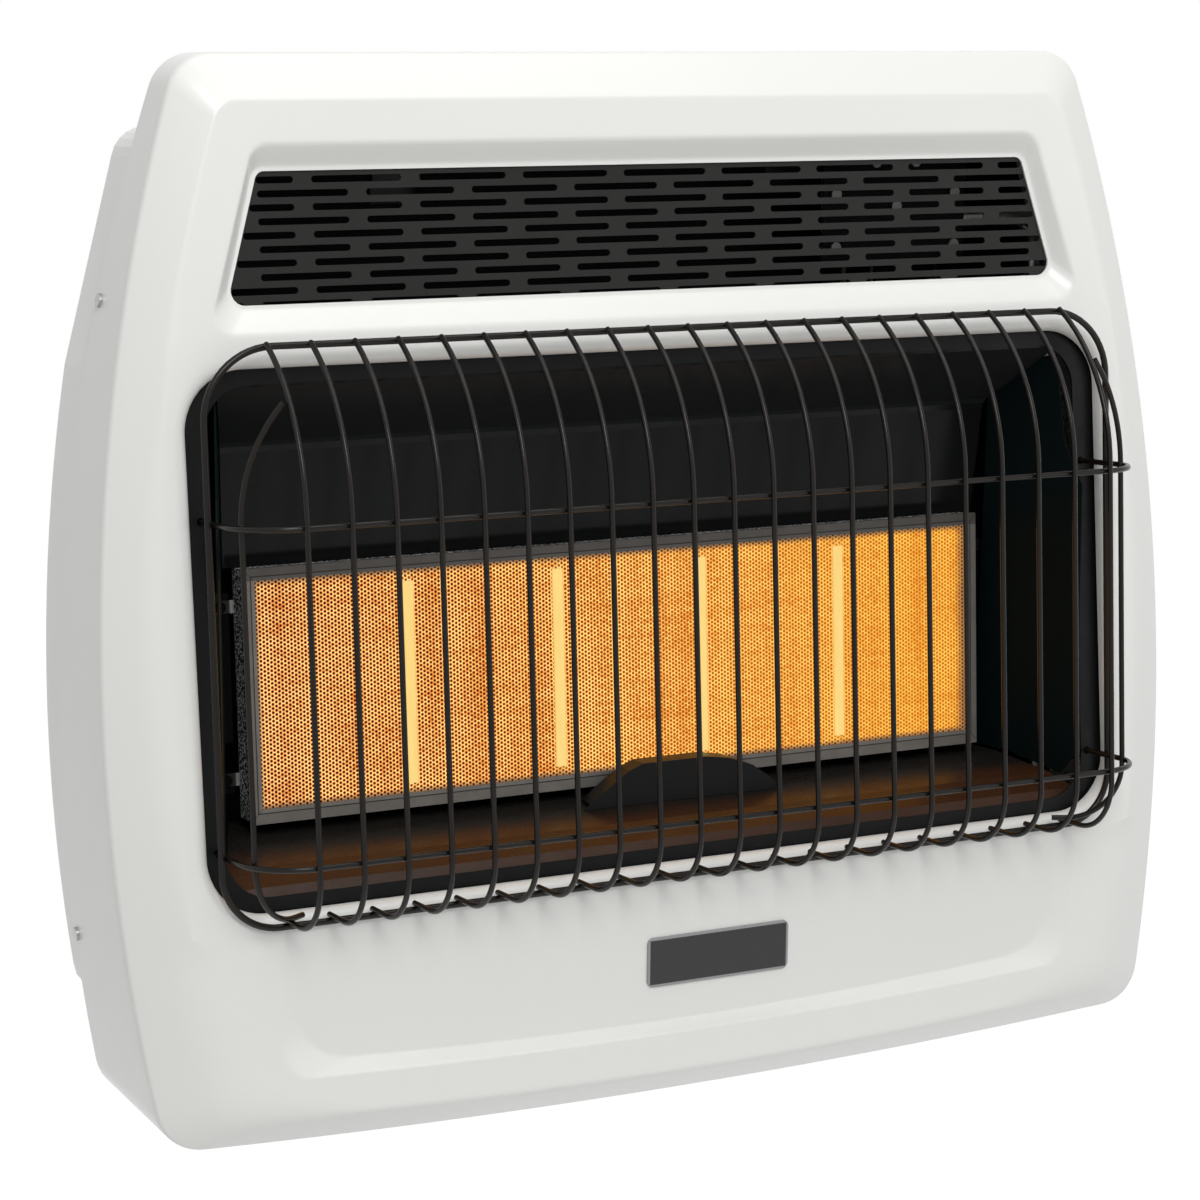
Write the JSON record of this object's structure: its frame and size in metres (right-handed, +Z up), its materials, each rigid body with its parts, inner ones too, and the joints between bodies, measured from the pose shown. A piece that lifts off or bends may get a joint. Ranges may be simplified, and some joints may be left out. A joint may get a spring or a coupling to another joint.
{
  "type": "wall mounted gas heater",
  "caption": "Wall-hung gas heater: bowed white cover with slotted outlet grille, leaning front, glowing ceramic plaque burner in a black firebox behind a bent wire guard.",
  "frame": {"origin": "middle of the wall bracket's screw line, on the wall face", "axes": "+X to the right as seen from the front, -Y out of the wall towards the room, +Z up"},
  "size_m": [0.6924, 0.1963, 0.6053],
  "materials": {
    "white_enamel": "satin baked enamel",
    "grey_sheet": "dark grey baked paint",
    "black_enamel": "satin black enamel",
    "gloss_black": "glossy black porcelain enamel",
    "dark_reflector": "glossy dark enamel that mirrors the glow",
    "aluminised_steel": "aluminised sheet",
    "zinc_steel": "zinc plated",
    "bare_steel": "turned",
    "fibre_gasket": "dark speckled ceramic fibre",
    "burner_frame_grey": "heat darkened steel",
    "tube_aluminium": "drawn tube",
    "cast_aluminium": "die cast",
    "gas_brass": "turned brass",
    "black_plastic": "moulded, matt",
    "red_plastic": "moulded, gloss",
    "lead_rubber": "silicone sleeved lead",
    "white_ceramic": "unglazed alumina",
    "sensor_copper": "copper lead and steel tip",
    "guard_black": "black coated wire",
    "glowing_ceramic": "perforated cordierite, glowing orange",
    "glowing_strip": "fibre strip, glowing pale yellow"
  },
  "bodies": {
    "heater": {"wall_bracket": "zinc_steel", "rear_casing": "white_enamel", "casing_bottom": "white_enamel", "back_panel": "grey_sheet", "front_cover": "white_enamel", "outlet_grille": "grey_sheet", "cover_screws": "zinc_steel", "firebox_surround": "black_enamel", "surround_screws": "zinc_steel", "upper_shield": "gloss_black", "lower_reflector": "dark_reflector", "side_shield_left": "gloss_black", "side_shield_right": "gloss_black", "burner_body": "aluminised_steel", "burner_gasket": "fibre_gasket", "burner_frame": "burner_frame_grey", "ceramic_plaque_1": "glowing_ceramic", "ceramic_plaque_2": "glowing_ceramic", "ceramic_plaque_3": "glowing_ceramic", "ceramic_plaque_4": "glowing_ceramic", "ceramic_plaque_5": "glowing_ceramic", "plaque_strips": "glowing_strip", "mixer_tube": "aluminised_steel", "burner_brackets": "gloss_black", "burner_screws": "zinc_steel", "injector": "gas_brass", "manifold_tube": "tube_aluminium", "supply_tube": "tube_aluminium", "inlet_regulator": "cast_aluminium", "regulator_bracket": "zinc_steel", "control_valve": "cast_aluminium", "valve_bracket": "grey_sheet", "bracket_screws": "zinc_steel", "igniter_body": "black_plastic", "igniter_nut": "zinc_steel", "ignition_lead": "lead_rubber", "spark_electrode": "white_ceramic", "pilot_burner": "gas_brass", "pilot_tube": "tube_aluminium", "pilot_shield": "black_enamel", "thermocouple": "sensor_copper", "guard_frame": "guard_black", "guard_uprights": "guard_black", "guard_cross_wires": "guard_black", "guard_corner_wires": "guard_black"},
    "valve_stem": {"valve_stem": "bare_steel"},
    "control_knob": {"control_knob": "black_plastic"},
    "igniter_button": {"igniter_button": "red_plastic"}
  },
  "joints": [
    {"name": "stem_push", "type": "slide", "parent": "heater", "child": "valve_stem", "axis": [0, 0, -1], "range_m": [0, 0.004], "stiffness_N_per_m": 2500, "springref_m": -0.002},
    {"name": "knob_turn", "type": "hinge", "parent": "valve_stem", "child": "control_knob", "pos_m": [0.178, -0.028, 0.06], "axis": [0, 0, 1], "range_deg": [0, 270]},
    {"name": "igniter_push", "type": "slide", "parent": "heater", "child": "igniter_button", "axis": [0, 0, -1], "range_m": [0, 0.005], "stiffness_N_per_m": 2000, "springref_m": -0.002}
  ]
}
